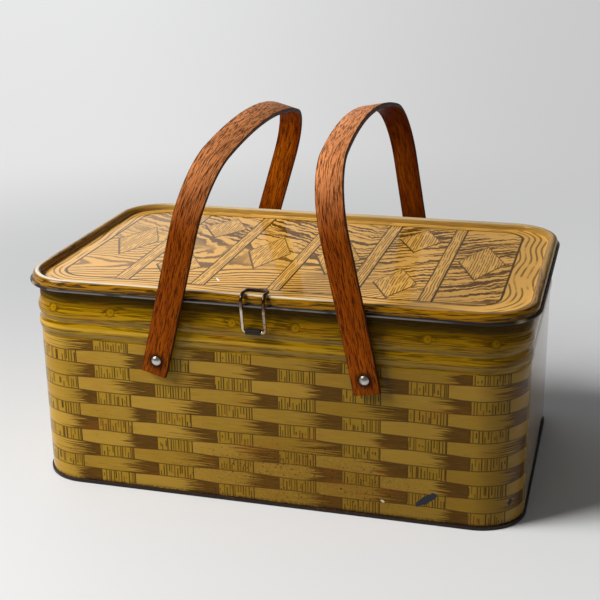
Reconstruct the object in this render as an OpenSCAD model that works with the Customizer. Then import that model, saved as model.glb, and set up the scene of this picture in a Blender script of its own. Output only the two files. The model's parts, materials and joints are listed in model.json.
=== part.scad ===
// Picnic-basket lunch box of printed tinplate with two swinging wooden handles.
// Millimetres. The origin is the middle of the base: X runs along the box, Y to its back, Z up.

/* [Box] */
// Length of the body over its plain lower wall
box_length = 340; // [280:1:400]
// Depth of the body over its plain lower wall, front to back
box_depth = 207; // [170:1:250]
// Corner radius of the plain lower wall, seen from above
corner_radius = 32; // [24:1:45]
// Thickness of the tinplate
sheet = 0.5; // [0.4:0.05:0.6]
// Height of the crease where the plain lower wall ends
lower_wall_top = 108.3; // [107:0.1:125]
// Height of the pressed bead above that crease
bead_height = 11.7; // [9:0.1:14]
// Height of the pressed band above the bead
band_height = 11.2; // [9:0.1:14]
// How far the bead and the band stand out from the lower wall
bead_proud = 1.1; // [0.6:0.1:1.6]
// How far the creases are pressed in from the lower wall
crease_in = 0.4; // [0.1:0.1:0.7]
// How far the neck under the lid is pressed in from the lower wall
neck_inset = 0.8; // [0.5:0.1:1]
// Height of the neck from the band to the middle of the rim curl
neck_height = 16.7; // [15:0.1:20]
// Radius of the wire rolled into the rim of the body
rim_wire_radius = 0.65; // [0.5:0.05:0.8]

/* [Base] */
// Height of the folded seam round the foot of the wall
seam_height = 4; // [3:0.1:6]
// Thickness of the folded layers outside the wall
seam_fold = 1.05; // [0.6:0.05:1.4]
// Height of the floor's underside above the table
floor_lift = 3; // [2:0.1:5]
// Width of the lock seam down the back of the body
lock_seam_width = 6; // [4:0.5:10]
// How far the lock seam stands out from the wall
lock_seam_proud = 0.45; // [0.3:0.05:0.8]

/* [Lid] */
// Outer radius of the raised rim round the lid
crown_radius = 3.3; // [3:0.1:4]
// Depth of the lid's panel below the top of its rim
panel_recess = 4.6; // [3.8:0.1:5]
// Drop from the middle of the rim's curve to the middle of the hem
skirt_drop = 3.05; // [2.5:0.05:4]
// Radius of the wire rolled into the hem of the lid
hem_wire_radius = 0.6; // [0.5:0.05:0.7]
// Gap between the lid and the rim that it sits on
lid_seat_gap = 0.3; // [0.25:0.05:0.4]

/* [Hinge] */
// Distance of each hinge strap from the middle of the back
hinge_offset = 24; // [14:0.5:26]
// Width of a hinge strap
hinge_width = 16; // [12:0.5:18]
// Length of a hinge strap down the neck
hinge_leaf = 10.4; // [8:0.1:10.8]
// Distance between the two rivets of a hinge strap
hinge_rivet_pitch = 9; // [6:0.5:10]
// Shank radius of a hinge rivet
hinge_rivet_radius = 1; // [0.8:0.05:1.2]
// Head radius of a hinge rivet
hinge_rivet_head = 1.8; // [1.5:0.1:2.2]

/* [Handles] */
// Distance of each handle's pivots from the line midway between the handles
pivot_offset = 70.5; // [60:0.5:90]
// Place of that line along the box; the handles are set a little to the left
pivot_middle = -2; // [-4:0.5:4]
// Height of the handle pivots above the table
pivot_height = 100; // [95:0.5:112]
// Width of the wooden strip
strip_width = 18; // [12:0.5:20]
// Thickness of the wooden strip
strip_thick = 3.2; // [2.4:0.1:4]
// Height of the arch over the pivots, to its outer face
arch_height = 153.4; // [140:0.1:170]
// Outer radius of the bends between the legs and the arch
shoulder_radius = 46; // [35:1:55]
// Outer radius of the flat arch between the bends
arch_radius = 340; // [250:5:500]
// Angle at which the legs splay out from the wall
leg_splay = 4.8; // [4.5:0.1:6]
// Length of the upright tail above the pivot
tail_above = 8; // [7:0.1:9]
// Length of the tail below the pivot
tail_below = 10; // [9:0.5:16]
// Radius of the slight bend between the tail and the leg
tail_bend = 40; // [20:1:60]
// Angle by which the left handle leans towards the middle, as it stands
left_lean = 15.6; // [0:0.1:20]
// Angle by which the right handle leans towards the middle, as it stands
right_lean = 10.4; // [0:0.1:20]

/* [Handle rivets] */
// Shank radius of a handle rivet
rivet_radius = 2; // [1.5:0.1:2.4]
// Head radius of a handle rivet
rivet_head_radius = 3.2; // [2.8:0.1:4]
// Height of a handle rivet's domed head
rivet_head_height = 1.6; // [1.2:0.1:2.2]
// Thickness of the spacer between the wall and a handle
spacer_thick = 2.55; // [2.5:0.05:3]
// Outer radius of the spacers and the burrs
washer_radius = 4.6; // [4:0.1:6]
// Thickness of the burr under a rivet's clenched end
burr_thick = 0.8; // [0.6:0.1:1.2]
// Radius of a rivet's clenched end
clench_radius = 3; // [2.6:0.1:3.4]
// Height of a rivet's clenched end
clench_height = 1; // [0.6:0.1:1.4]

/* [Latch] */
// Place of the latch along the front of the box
latch_x = -5; // [-15:0.5:15]
// Height of the latch's pivot above the middle of the band
latch_rise = 0; // [-1:0.1:1]
// Half the distance between the middles of the loop's legs
latch_half = 7.9; // [6.5:0.1:10]
// Radius of the latch wire
latch_wire = 1.15; // [0.9:0.05:1.2]
// Bend radius at the loop's lower corners
latch_corner = 2.8; // [2.4:0.1:3]
// Bend radius at the loop's upper corners
latch_top_corner = 1.6; // [1.4:0.1:2]
// Radius of the two bends over the lid's rim
latch_bend = 2.4; // [2:0.1:3]
// Thickness of the latch strap
strap_sheet = 0.9; // [0.6:0.05:1]
// Height of the strap's clenched ends inside the body
strap_clench = 11; // [8:0.5:11]

/* [Hidden] */
$fn = 96;

// Colours of the printed tin, the bare metal and the wood
tin_colour = [0.62, 0.47, 0.17];
lid_colour = [0.80, 0.62, 0.34];
steel_colour = [0.55, 0.55, 0.54];
dark_steel_colour = [0.22, 0.21, 0.20];
wood_colour = [0.50, 0.22, 0.08];

// Clearances: a wrapped wire, a turning fit, a rivet in its hole and a strap in its slot
wrap_gap = 0.05;
turn_gap = 0.05;
hole_gap = 0.02;
slot_gap = 0.1;
// Depth by which the parts of one sheet run into each other
lap = 0.3;
// A length to the nearest micrometre, so that two ends that meet have the same place
function tidy(x) = round(1000 * x) / 1000;

// Places on the wall's section, given as an offset out from the lower wall and a height
crease_run = 2;
bulge_steps = 8;
bead_top = lower_wall_top + bead_height;
band_top = bead_top + band_height;
rim_curl = rim_wire_radius + wrap_gap + sheet;
rim_d = -neck_inset + wrap_gap + rim_wire_radius;
rim_z = band_top + neck_height;
wall_foot = sheet;
plain_top = lower_wall_top - crease_run;
lock_seam_foot = seam_height + lap;

// Places on the lid's section
crown_z = rim_z + rim_curl + lid_seat_gap + sheet - crown_radius;
lid_top = crown_z + crown_radius;
panel_top = lid_top - panel_recess;
hem_curl = hem_wire_radius + wrap_gap + sheet;
hem_d = crown_radius + wrap_gap + hem_wire_radius;
hem_z = crown_z - skirt_drop;

// The lid's axis is the hem wire along the back, bare in two notches
hinge_y = box_depth / 2 + hem_d;
hinge_loop = hem_wire_radius + turn_gap + sheet;
notch_gap = 0.5;
notch_top = hem_z + hem_curl + notch_gap;
leaf_top = hem_z - hinge_loop + sheet;
hinge_rivet_z = leaf_top - hinge_leaf / 2;
hinge_rivet_tip = 0.7;

// The wall under a handle's washers: plain, or as far out and in as the bead where a washer reaches it
on_plain_wall = pivot_height + washer_radius <= plain_top;
spacer_seat = on_plain_wall ? 0 : bead_proud;
burr_seat = -sheet - (on_plain_wall ? 0 : crease_in);

// A handle's strip, as seen along its width: outwards from the box, then up from the pivot
strip_mid = box_depth / 2 + spacer_seat + spacer_thick + turn_gap + strip_thick / 2;
shoulder_mid = shoulder_radius - strip_thick / 2;
arch_mid = arch_radius - strip_thick / 2;
arch_centre = [0, arch_height - arch_radius];
leg_way = [sin(leg_splay), cos(leg_splay)];
leg_inward = [-cos(leg_splay), sin(leg_splay)];
leg_root = [strip_mid, tail_above];
bend_run = tail_bend * tan(leg_splay / 2);
bend_centre = [strip_mid + tail_bend, tail_above - bend_run];
bend_steps = 3;
shoulder_steps = 24;
arch_steps = 10;
to_shoulder = leg_root + shoulder_mid * leg_inward - arch_centre;
leg_run = -to_shoulder * leg_way
    + sqrt(pow(to_shoulder * leg_way, 2) - to_shoulder * to_shoulder + pow(arch_mid - shoulder_mid, 2));
shoulder_centre = leg_root + leg_run * leg_way + shoulder_mid * leg_inward;
arch_from = atan2(shoulder_centre.y - arch_centre.y, shoulder_centre.x - arch_centre.x);

// The latch turns in a strap at the front of the band and hooks over the lid's rim
strap_curl = latch_wire + turn_gap + strap_sheet;
strap_width = 2 * (latch_half - latch_corner) - 2 * slot_gap;
strap_seat_gap = 0.1;
clench_gap = 0.3;
latch_y = -(box_depth / 2 + bead_proud + strap_seat_gap + strap_curl);
latch_z = bead_top + band_height / 2 + latch_rise;
clench_y = -(box_depth / 2 - neck_inset - sheet - clench_gap);
hem_side_gap = 0.35;
hook_gap = 0.4;
to_hem = [-hinge_y - latch_y, hem_z - latch_z];
leg_lean = atan2(to_hem.y, to_hem.x) + asin((hem_curl + latch_wire + hem_side_gap) / norm(to_hem)) - 90;
// The rim's curve seen from the latch's pivot, inwards across the legs and then along them
to_crown = [-box_depth / 2 - latch_y, crown_z - latch_z];
crown_across = to_crown.x * cos(leg_lean) + to_crown.y * sin(leg_lean);
crown_along = to_crown.y * cos(leg_lean) - to_crown.x * sin(leg_lean);
hook_reach = crown_radius + hook_gap + latch_wire;
leg_top = tidy(crown_along + hook_reach - latch_bend);
hook_run = tidy(crown_across + hook_reach - 2 * latch_bend);

// Shapes that several pieces share

// The outline of a rounded rectangle, set out from the lower wall by d
module outline(d) {
    length = box_length + 2 * d;
    depth = box_depth + 2 * d;
    radius = corner_radius + d;
    square([length - 2 * radius, depth], center = true);
    square([length, depth - 2 * radius], center = true);
    for (x = [-1, 1], y = [-1, 1])
        translate([x * (length / 2 - radius), y * (depth / 2 - radius)]) circle(radius);
}

// Carries a section, drawn as offset and height, all round the lower wall's outline
module round_the_box() {
    for (k = [0:3]) rotate(90 * k) {
        half = (k % 2 == 0 ? box_length : box_depth) / 2;
        run = (k % 2 == 0 ? box_depth : box_length) - 2 * corner_radius;
        translate([half, run / 2, 0]) rotate([90, 0, 0]) linear_extrude(run) children();
        translate([half - corner_radius, run / 2, 0])
            rotate_extrude(angle = 90) translate([corner_radius, 0]) children();
    }
}

// A ring of sheet rolled round a wire
module curl(outer, inner) {
    difference() {
        circle(outer, $fn = 48);
        circle(inner, $fn = 48);
    }
}

// A round bar along Y, from one offset out from the back wall to another
module bar_y(from, to, radius) {
    translate([0, box_depth / 2 + from, 0]) rotate([-90, 0, 0]) cylinder(h = to - from, r = radius);
}

// Sets a piece drawn at the back wall at one of the four handle pivots
module at_pivot(x_side, y_side) {
    translate([pivot_middle + x_side * pivot_offset, 0, pivot_height]) mirror([0, y_side < 0 ? 1 : 0, 0]) children();
}

// Draws a section in the plane of Y and Z, carried along X over a width about x
module across(x, width) {
    translate([x - width / 2, 0, 0]) rotate([90, 0, 90]) linear_extrude(width) children();
}

// Body

// How far the wall stands out at a share u of a pressed bulge that runs from one offset to another
function bulge(u, from, to) = from + (to - from) * u + (bead_proud - from + (from - to) / 2) * sin(180 * u);
function bulge_points(z, height, from, to) =
    [for (i = [1:bulge_steps]) [bulge(i / bulge_steps, from, to), z + height * i / bulge_steps]];

module wall_section() {
    outer = concat(
        [[0, wall_foot], [0, plain_top], [-crease_in, lower_wall_top]],
        bulge_points(lower_wall_top, bead_height, -crease_in, -crease_in),
        bulge_points(bead_top, band_height, -crease_in, -neck_inset),
        [[-neck_inset, rim_z - lap]]
    );
    inner = [for (i = [len(outer) - 1:-1:0]) outer[i] - [sheet, 0]];
    polygon(concat(outer, inner));
    translate([rim_d, rim_z]) curl(rim_curl, rim_curl - sheet);
}

module body_wall() color(tin_colour) difference() {
    union() {
        round_the_box() wall_section();
        translate([-lock_seam_width / 2, box_depth / 2 - sheet / 2, lock_seam_foot])
            cube([lock_seam_width, sheet / 2 + lock_seam_proud, plain_top - lock_seam_foot]);
    }
    for (x = [-1, 1], y = [-1, 1])
        at_pivot(x, y) bar_y(burr_seat - sheet, spacer_seat + sheet, rivet_radius + hole_gap);
    for (side = [-1, 1]) at_hinge_rivets(side)
        bar_y(-neck_inset - 2 * sheet, -neck_inset + sheet, hinge_rivet_radius + hole_gap);
    translate([latch_x, -box_depth / 2, latch_z]) cube(
        [strap_width + 2 * slot_gap, 4 * bead_proud + 2 * sheet, 2 * (strap_sheet + slot_gap)],
        center = true
    );
}

module rim_wire() color(steel_colour)
    round_the_box() translate([rim_d, rim_z]) circle(rim_wire_radius, $fn = 48);

// The seam holds the foot of the wall in a channel round a floor that is lifted off the table
module seam_section() {
    inside = -2 * sheet - wrap_gap;
    translate([inside, 0]) square([wrap_gap + seam_fold - inside, sheet]);
    translate([inside, 0]) square([sheet, floor_lift + sheet]);
    translate([wrap_gap, 0]) square([seam_fold, seam_height]);
}

module bottom_panel() color(dark_steel_colour) {
    round_the_box() seam_section();
    translate([0, 0, floor_lift]) linear_extrude(sheet) outline(-1.5 * sheet - wrap_gap);
}

// Lid

module lid_section() {
    translate([0, crown_z]) intersection() {
        curl(crown_radius, crown_radius - sheet);
        translate([-crown_radius - lap, 0]) square([2 * (crown_radius + lap), crown_radius + lap]);
    }
    translate([-crown_radius, panel_top - sheet]) square([sheet, crown_z - panel_top + sheet]);
    translate([crown_radius - sheet, hem_z + lap]) square([sheet, skirt_drop - lap]);
    translate([hem_d, hem_z]) curl(hem_curl, hem_curl - sheet);
}

module lid_shell() color(lid_colour) difference() {
    union() {
        round_the_box() lid_section();
        translate([0, 0, panel_top - sheet]) linear_extrude(sheet) outline(-crown_radius + sheet / 2);
    }
    for (side = [-1, 1]) across(side * hinge_offset, hinge_width + 2 * notch_gap)
        translate([hinge_y - hem_curl - notch_gap, hem_z - 2 * hem_curl])
            square([3 * hem_curl, notch_top - hem_z + 2 * hem_curl]);
}

module lid_wire() color(steel_colour)
    round_the_box() translate([hem_d, hem_z]) circle(hem_wire_radius, $fn = 48);

// Hinge straps, riveted to the neck and looped round the lid's wire

module hinge_section() {
    neck_y = box_depth / 2 - neck_inset;
    translate([hinge_y, hem_z]) curl(hinge_loop, hinge_loop - sheet);
    translate([neck_y, leaf_top - sheet]) square([hinge_y - lap - neck_y, sheet]);
    translate([neck_y, leaf_top - hinge_leaf]) square([sheet, hinge_leaf]);
}

module at_hinge_rivets(side) {
    for (k = [-1, 1])
        translate([side * hinge_offset + k * hinge_rivet_pitch / 2, 0, hinge_rivet_z]) children();
}

module hinge_strap(side) color(dark_steel_colour) difference() {
    across(side * hinge_offset, hinge_width) hinge_section();
    at_hinge_rivets(side)
        bar_y(-neck_inset - sheet, -neck_inset + 2 * sheet, hinge_rivet_radius + hole_gap);
}

module hinge_rivets(side) color(steel_colour) at_hinge_rivets(side) {
    bar_y(-neck_inset - sheet - hinge_rivet_tip, -neck_inset + sheet + hinge_rivet_tip, hinge_rivet_radius);
    bar_y(-neck_inset - sheet - hinge_rivet_tip, -neck_inset - sheet, hinge_rivet_head);
    bar_y(-neck_inset + sheet, -neck_inset + sheet + hinge_rivet_tip, hinge_rivet_head);
}

// Handles

// Stations along the middle of the strip, each its place and the angle of its outward normal
function arc_stations(centre, radius, from, to, steps) =
    [for (i = [1:steps]) let (a = from + (to - from) * i / steps) [centre + radius * [cos(a), sin(a)], a]];

// Half the strip: from the tail round its bend, up the leg, and over the shoulder to the middle of the arch
half_strip = concat(
    [[[strip_mid, -tail_below], 0], [bend_centre - [tail_bend, 0], 0]],
    arc_stations(bend_centre, -tail_bend, 0, -leg_splay, bend_steps),
    [[leg_root + leg_run * leg_way, -leg_splay]],
    arc_stations(shoulder_centre, shoulder_mid, -leg_splay, arch_from, shoulder_steps),
    arc_stations(arch_centre, arch_mid, arch_from, 90, arch_steps)
);
function beside(stations, offset) = [for (s = stations) s[0] + offset * [cos(s[1]), sin(s[1])]];
function mirrored(points) = [for (i = [len(points) - 2:-1:0]) [-points[i].x, points[i].y]];

// The bent strip seen along its width, drilled for the rivets
module bent_strip() {
    outer = beside(half_strip, strip_thick / 2);
    inner = beside(half_strip, -strip_thick / 2);
    lower_edge = concat(inner, mirrored(inner));
    difference() {
        linear_extrude(strip_width, center = true) polygon(
            concat(outer, mirrored(outer), [for (i = [len(lower_edge) - 1:-1:0]) lower_edge[i]])
        );
        rotate([0, 90, 0])
            cylinder(h = 2 * (strip_mid + strip_thick), r = rivet_radius + turn_gap, center = true);
    }
}

// A handle on its pivots, leaning by an angle towards +X
module handle(x, lean) color(wood_colour)
    translate([x, 0, pivot_height]) rotate([0, lean, 0]) rotate([90, 0, 90]) bent_strip();

// A rivet through the strip, the spacer, the wall and the burr, with a domed head outside
module handle_rivet(x_side, y_side) color(steel_colour) at_pivot(x_side, y_side) {
    seat = spacer_seat + spacer_thick + strip_thick + 2 * turn_gap;
    tip = burr_seat - burr_thick;
    dome = (pow(rivet_head_radius, 2) + pow(rivet_head_height, 2)) / (2 * rivet_head_height);
    bar_y(tip - clench_height, seat + rivet_head_height / 2, rivet_radius);
    bar_y(tip - clench_height, tip, clench_radius);
    intersection() {
        translate([0, box_depth / 2 + seat + rivet_head_height - dome, 0]) sphere(dome);
        bar_y(seat, seat + rivet_head_height, rivet_head_radius);
    }
}

module washer(from, to) {
    difference() {
        bar_y(from, to, washer_radius);
        bar_y(from - lap, to + lap, rivet_radius + hole_gap);
    }
}

module spacer(x_side, y_side) color(steel_colour)
    at_pivot(x_side, y_side) washer(spacer_seat, spacer_seat + spacer_thick);

module burr(x_side, y_side) color(steel_colour)
    at_pivot(x_side, y_side) washer(burr_seat - burr_thick, burr_seat);

// Latch

// A strap rolled round the loop's lower bar, with its tail clenched inside the wall
module latch_strap() color(dark_steel_colour) across(latch_x, strap_width) {
    translate([latch_y, latch_z]) curl(strap_curl, strap_curl - strap_sheet);
    translate([latch_y + strap_curl - strap_sheet / 2, latch_z - strap_sheet])
        square([clench_y - latch_y - strap_curl + strap_sheet, 2 * strap_sheet]);
    translate([clench_y, latch_z - strap_clench / 2]) square([strap_sheet, strap_clench]);
}

// A quarter bend of the wire about the origin, from one angle on
module wire_bend(radius, from)
    rotate(from) rotate_extrude(angle = 90) translate([radius, 0]) circle(latch_wire, $fn = 32);

module wire_run(run) cylinder(h = run, r = latch_wire, $fn = 32);

// A bar along X whose ends bend up into the loop's two legs, which start at the height of the origin
module wire_end(corner) {
    straight = latch_half - corner;
    translate([-straight, 0, -corner]) rotate([0, 90, 0]) wire_run(2 * straight);
    for (side = [-1, 1])
        translate([side * straight, 0, 0]) rotate([90, 0, 0]) wire_bend(corner, side < 0 ? 180 : 270);
}

module latch_loop() color(steel_colour) translate([latch_x, latch_y, latch_z]) rotate([leg_lean, 0, 0]) {
    translate([0, 0, latch_corner]) wire_end(latch_corner);
    for (side = [-1, 1]) translate([side * latch_half, 0, 0]) {
        translate([0, 0, latch_corner]) wire_run(leg_top - latch_corner);
        translate([0, latch_bend, leg_top]) rotate([90, 0, 90]) wire_bend(latch_bend, 90);
        translate([0, latch_bend, leg_top + latch_bend]) rotate([-90, 0, 0]) wire_run(hook_run);
        translate([0, latch_bend + hook_run, leg_top]) rotate([90, 0, 90]) wire_bend(latch_bend, 0);
    }
    translate([0, 2 * latch_bend + hook_run, leg_top]) wire_end(latch_top_corner);
}

body_wall();
rim_wire();
bottom_panel();
lid_shell();
lid_wire();
hinge_strap(-1);  // hinge_strap_left
hinge_strap(1);  // hinge_strap_right
hinge_rivets(-1);  // hinge_rivets_left
hinge_rivets(1);  // hinge_rivets_right
handle(pivot_middle - pivot_offset, left_lean);  // left_handle
handle(pivot_middle + pivot_offset, -right_lean);  // right_handle
handle_rivet(-1, -1);  // left_front_rivet
handle_rivet(-1, 1);  // left_back_rivet
handle_rivet(1, -1);  // right_front_rivet
handle_rivet(1, 1);  // right_back_rivet
spacer(-1, -1);  // left_front_spacer
spacer(-1, 1);  // left_back_spacer
spacer(1, -1);  // right_front_spacer
spacer(1, 1);  // right_back_spacer
burr(-1, -1);  // left_front_burr
burr(-1, 1);  // left_back_burr
burr(1, -1);  // right_front_burr
burr(1, 1);  // right_back_burr
latch_strap();
latch_loop();
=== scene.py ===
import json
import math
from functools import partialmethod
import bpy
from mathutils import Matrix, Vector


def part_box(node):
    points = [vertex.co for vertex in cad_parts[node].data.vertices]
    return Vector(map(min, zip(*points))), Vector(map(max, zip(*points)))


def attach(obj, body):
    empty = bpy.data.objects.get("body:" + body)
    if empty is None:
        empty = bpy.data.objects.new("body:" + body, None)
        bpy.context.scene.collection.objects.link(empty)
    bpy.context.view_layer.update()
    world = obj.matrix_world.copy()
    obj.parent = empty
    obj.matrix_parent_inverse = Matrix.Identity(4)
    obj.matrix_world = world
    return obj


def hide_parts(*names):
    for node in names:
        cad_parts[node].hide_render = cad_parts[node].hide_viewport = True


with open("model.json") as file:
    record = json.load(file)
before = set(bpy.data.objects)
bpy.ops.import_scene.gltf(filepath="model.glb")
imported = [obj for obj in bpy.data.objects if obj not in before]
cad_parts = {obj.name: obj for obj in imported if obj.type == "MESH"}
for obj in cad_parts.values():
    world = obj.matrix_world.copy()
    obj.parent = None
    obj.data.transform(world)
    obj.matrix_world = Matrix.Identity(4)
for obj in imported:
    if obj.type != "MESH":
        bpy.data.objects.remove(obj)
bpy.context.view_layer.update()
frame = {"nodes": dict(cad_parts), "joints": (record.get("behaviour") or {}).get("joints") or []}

# %% [markdown]
# # A printed tin lunch box
#
# The box is tinplate, printed to look like a woven picnic basket under a slatted wooden lid, with two bent
# wooden handles and a wire latch. The frame that was just loaded holds every piece at its real size. This
# lesson gives the sheet metal, the print, the wood and the wire their looks. Sizes are read from the frame
# where it has them, and the rest are named where they are first needed.

MM = 0.001

# %% [markdown]
# ## The camera
#
# The picture is square and was taken from the right of the front, a little above the lid. A camera can be
# nudged by eye, but here its place, its aim, a small roll and its focal length are stated as numbers, so the
# lens in millimetres follows from the sensor that Blender assumes.

# %% Place the camera
PICTURE_SIDE = 600
FOCAL_PIXELS = 1208.3
CAMERA_AT = Vector((0.2210, -0.7992, 0.3989))
CAMERA_AIM = Vector((-0.0035, 0.0, 0.1115))
CAMERA_ROLL = -0.014

ahead = (CAMERA_AIM - CAMERA_AT).normalized()
level = ahead.cross(Vector((0, 0, 1))).normalized()
upright = level.cross(ahead)
right = math.cos(CAMERA_ROLL) * level + math.sin(CAMERA_ROLL) * upright
turn = Matrix((right, right.cross(ahead), -ahead)).transposed()
bpy.ops.object.camera_add(location=CAMERA_AT, rotation=turn.to_euler())
camera = bpy.context.object
camera.data.lens = FOCAL_PIXELS / PICTURE_SIDE * camera.data.sensor_width
bpy.context.scene.camera = camera
print("lens, mm:", round(camera.data.lens, 1))

# %% [markdown]
# ## Drawing with nodes
#
# A printed pattern is a drawing: distances, bands, lines and a little noise. Dozens of Math nodes say that,
# and they are tedious to wire one by one. The helpers below let plain arithmetic make the nodes, so a finish
# reads like a description of the print. Colours are given as 8-bit values, as a printer would name an ink,
# and places in millimetres. A zone or a line is a pair: a share changes smoothly from the one to the other.

# %% An ink is a colour in linear light
def ink(red, green, blue):
    """An 8-bit colour, as the linear values that a shader takes."""
    def to_linear(value):
        share = value / 255
        return share / 12.92 if share <= 0.04045 else ((share + 0.055) / 1.055) ** 2.4
    return (to_linear(red), to_linear(green), to_linear(blue), 1)


print("mid grey in linear light:", round(ink(128, 128, 128)[0], 3))

# %% A field is a value that varies over a surface
def feed(tree, value, socket):
    """Links a field or a socket to an input, or sets a plain value there."""
    if isinstance(value, Field):
        tree.links.new(value.socket, socket)
    elif isinstance(value, bpy.types.NodeSocket):
        tree.links.new(value, socket)
    else:
        socket.default_value = value


class Field:
    """A value over a surface. Arithmetic on it makes Math nodes."""

    def __init__(self, tree, socket):
        self.tree = tree
        self.socket = socket

    def math(self, operation, *others):
        """A Math node on this field and others."""
        node = self.tree.nodes.new("ShaderNodeMath")
        node.operation = operation
        for value, socket in zip((self, *others), node.inputs):
            feed(self.tree, value, socket)
        return Field(self.tree, node.outputs[0])

    __add__ = partialmethod(math, "ADD")
    __sub__ = partialmethod(math, "SUBTRACT")
    __mul__ = partialmethod(math, "MULTIPLY")
    __truediv__ = partialmethod(math, "DIVIDE")
    __abs__ = partialmethod(math, "ABSOLUTE")
    floor = partialmethod(math, "FLOOR")
    fraction = partialmethod(math, "FRACT")
    least = partialmethod(math, "MINIMUM")
    most = partialmethod(math, "MAXIMUM")
    power = partialmethod(math, "POWER")

    def __rsub__(self, other):
        return self.math("MULTIPLY_ADD", -1, other)

    def ramp(self, start, end):
        """0 below start, 1 above end and smooth between; a start above the end falls instead of rising."""
        node = self.tree.nodes.new("ShaderNodeMapRange")
        node.interpolation_type = "SMOOTHSTEP"
        for value, name in ((self, "Value"), (min(start, end), "From Min"), (max(start, end), "From Max"),
                            (0.0 if start < end else 1.0, "To Min"), (1.0 if start < end else 0.0, "To Max")):
            feed(self.tree, value, node.inputs[name])
        return Field(self.tree, node.outputs["Result"])


def hypotenuse(a, b):
    """Length across two fields that stand at a right angle."""
    return (a * a + b * b).math("SQRT")


print("fields ready")

# %% A finish is one material, with the fields that its drawing starts from
class Finish:
    """One material, and the strokes that its drawing is made of."""

    def __init__(self, name):
        self.material = bpy.data.materials.new(name)
        self.material.use_nodes = True
        self.tree = self.material.node_tree
        self.shader = self.tree.nodes["Principled BSDF"]

    def node(self, kind, **inputs):
        """Adds a node and feeds its inputs by name."""
        node = self.tree.nodes.new(kind)
        for name, value in inputs.items():
            feed(self.tree, value, node.inputs[name.replace("_", " ")])
        return node

    def split(self, socket, scale=1.0):
        """The three parts of a vector, each times a scale."""
        node = self.node("ShaderNodeSeparateXYZ", Vector=socket)
        return [Field(self.tree, output) * scale for output in node.outputs]

    def in_space(self):
        """Place in the frame, in millimetres."""
        return self.split(self.node("ShaderNodeTexCoord").outputs["Object"], 1 / MM)

    def on_sheet(self):
        """Place on the flat sheet before it was bent, in millimetres: round the box, then across."""
        node = self.node("ShaderNodeUVMap")
        node.uv_map = "sheet"
        return self.split(node.outputs["UV"])[:2]

    def along_grain(self):
        """Place in a bent strip, in millimetres: along it, across its width and through it."""
        node = self.node("ShaderNodeAttribute")
        node.attribute_name = "grain"
        return self.split(node.outputs["Vector"])

    def at(self, x=0.0, y=0.0, z=0.0):
        return self.node("ShaderNodeCombineXYZ", X=x, Y=y, Z=z).outputs[0]

    def noise(self, x=0.0, y=0.0, z=0.0, detail=2.0, roughness=0.5, distortion=0.0):
        node = self.node("ShaderNodeTexNoise", Vector=self.at(x, y, z), Scale=1.0, Detail=detail,
                         Roughness=roughness, Distortion=distortion)
        return Field(self.tree, node.outputs[0])

    def dice(self, x=0.0, y=0.0, z=0.0):
        """One random number for each whole-numbered place."""
        node = self.node("ShaderNodeTexWhiteNoise", Vector=self.at(x, y, z))
        return Field(self.tree, node.outputs["Value"])

    def cells(self, x=0.0, y=0.0, z=0.0):
        """Distance to the nearest of scattered points."""
        node = self.node("ShaderNodeTexVoronoi", Vector=self.at(x, y, z), Scale=1.0)
        return Field(self.tree, node.outputs["Distance"])

    def paint(self, under, *coats):
        """Lays inks over a colour one after another, each by a share from 0 to 1."""
        for over, share in coats:
            node = self.tree.nodes.new("ShaderNodeMix")
            node.data_type = "RGBA"
            for value, socket in ((share, node.inputs[0]), (under, node.inputs[6]), (over, node.inputs[7])):
                feed(self.tree, value, socket)
            under = node.outputs[2]
        return under

    def wear(self, **inputs):
        """Sets the shader's sockets by name."""
        for name, value in inputs.items():
            feed(self.tree, value, self.shader.inputs[name.replace("_", " ")])

    def varnish(self):
        """A thin clear coat, which shines most where it is seen at a low angle."""
        self.wear(Coat_Weight=1.0, Coat_IOR=1.3, Coat_Roughness=0.06)

    def bump(self, height, depth, strength=1.0):
        """Raises the surface by a field times a depth in millimetres."""
        node = self.node("ShaderNodeBump", Height=height, Distance=depth * MM, Strength=strength)
        feed(self.tree, node.outputs[0], self.shader.inputs["Normal"])


print("drawing tools ready")

# %% [markdown]
# ## The print on the body
#
# The wall was printed flat and then bent, so its pattern belongs to the sheet: millimetres round the box and
# height above the table. Rows of flat strips pass over and under upright stakes. Each strip is pale where it
# comes out from behind a stake and fades in ragged streaks to dark brown before it goes behind the next. An
# image could carry this, but a drawing in nodes stays sharp close up and needs no file.

# %% Draw the splints of a stake
SPLINT_PITCH = 1.9
SPLINT_SWAY = 0.5


def splint_lines(finish, around, row, up_row):
    """How much ink the thin upright lines of a stake take, some of them short or faint."""
    cell = around / SPLINT_PITCH
    splint = cell.floor()
    sideways = abs(cell.fraction() - 0.5 + (finish.dice(splint, row, 1.0) - 0.5) * SPLINT_SWAY)
    starts = (finish.dice(splint, row, 2.0) - 0.72).most(0.0) * 1.6
    ends = 1 - (finish.dice(splint, row, 3.0) - 0.62).most(0.0) * 1.6
    drawn = (up_row - starts).ramp(0.0, 0.08) * (ends - up_row).ramp(0.0, 0.08)
    drawn = drawn * (finish.dice(splint, row, 4.0) * 0.45 + 0.55)
    return sideways.ramp(0.32, 0.14) * drawn


print("splints, mm apart:", SPLINT_PITCH)

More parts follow.
